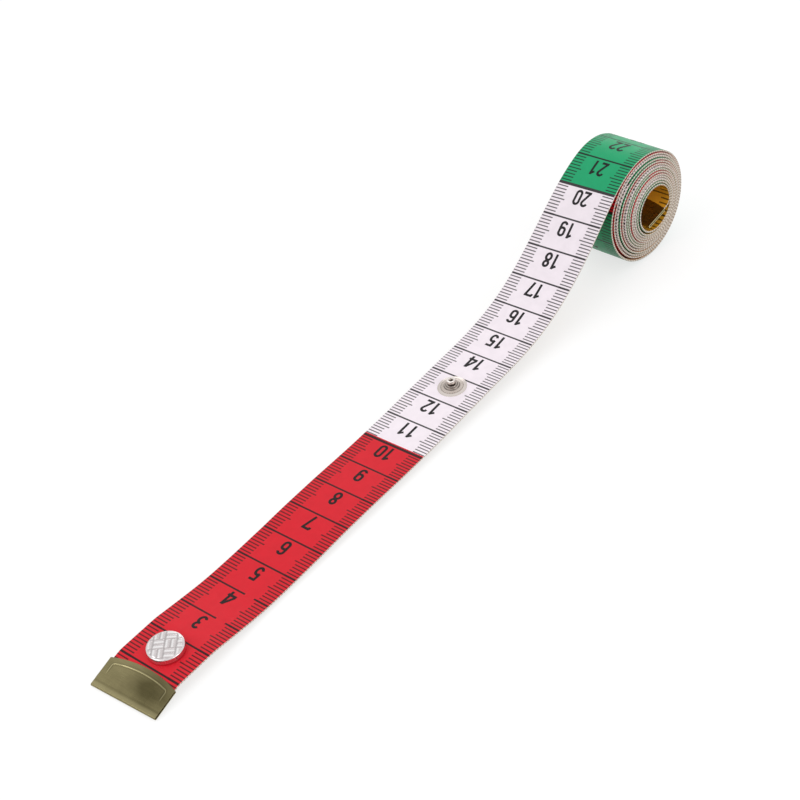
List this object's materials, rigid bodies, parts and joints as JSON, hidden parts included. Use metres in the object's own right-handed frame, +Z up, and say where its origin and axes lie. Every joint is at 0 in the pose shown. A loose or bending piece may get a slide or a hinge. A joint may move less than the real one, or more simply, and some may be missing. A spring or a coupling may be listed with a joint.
{
  "type": "cloth tape measure",
  "caption": "Rolled cloth measuring tape with a printed centimetre scale in coloured fields, brass end clips and a press-stud closure.",
  "frame": {"origin": "middle of the object's box on the table it lies on", "axes": "+Y along the free run from its tip towards the roll, +X across the tape, +Z up"},
  "size_m": [0.0258, 0.2266, 0.0349],
  "materials": {
    "tape_red": "plastic-coated cloth, red field, satin",
    "tape_white": "plastic-coated cloth, white field, satin",
    "tape_green": "plastic-coated cloth, white and green fields, satin",
    "tape_core": "plastic-coated cloth, amber reverse, coloured fields outside",
    "clip_brass": "embossed, brushed and dulled",
    "snap_nickel": "nickel plated",
    "spring_wire": "drawn spring wire"
  },
  "bodies": {
    "roll": {"tape_rise_and_outer_turn": "tape_green"},
    "core": {"tape_core_winding": "tape_core", "inner_end_clip": "clip_brass"},
    "white_run": {"tape_white_run": "tape_white", "snap_stud": "snap_nickel", "stud_eyelet": "snap_nickel"},
    "red_run": {"tape_red_run": "tape_red"},
    "free_end": {"tape_free_end": "tape_red", "outer_end_clip": "clip_brass", "snap_cap": "snap_nickel", "cap_post": "snap_nickel", "snap_socket": "snap_nickel"},
    "spring_left": {"socket_spring_left": "spring_wire"},
    "spring_right": {"socket_spring_right": "spring_wire"}
  },
  "joints": [
    {"name": "fold_15cm", "type": "hinge", "parent": "roll", "child": "white_run", "pos_m": [-0.00252, 0.03625, 0.00559], "axis": [-1, 0, 0], "range_deg": [-40, 60], "stiffness_Nm_per_rad": 0.006},
    {"name": "fold_10cm", "type": "hinge", "parent": "white_run", "child": "red_run", "pos_m": [-0.00252, -0.0136, 0.00206], "axis": [-1, 0, 0], "range_deg": [-60, 75], "stiffness_Nm_per_rad": 0.006},
    {"name": "fold_5cm", "type": "hinge", "parent": "red_run", "child": "free_end", "pos_m": [-0.00252, -0.06359, 0.00141], "axis": [-1, 0, 0], "range_deg": [-60, 90], "stiffness_Nm_per_rad": 0.006},
    {"name": "core_turn", "type": "hinge", "parent": "roll", "child": "core", "pos_m": [-0.00043, 0.0951, 0.01726], "axis": [-0.9969, 0.0785, 0], "range_deg": [0, 45]},
    {"name": "spring_left_slide", "type": "slide", "parent": "free_end", "child": "spring_left", "axis": [-1, 0, 0], "range_m": [0, 0.0003], "stiffness_N_per_m": 50},
    {"name": "spring_right_slide", "type": "slide", "parent": "free_end", "child": "spring_right", "axis": [1, 0, 0], "range_m": [0, 0.0003], "stiffness_N_per_m": 50}
  ],
  "couplings": [
    {"joint": "spring_right_slide", "follows": "spring_left_slide", "ratio": 1}
  ]
}
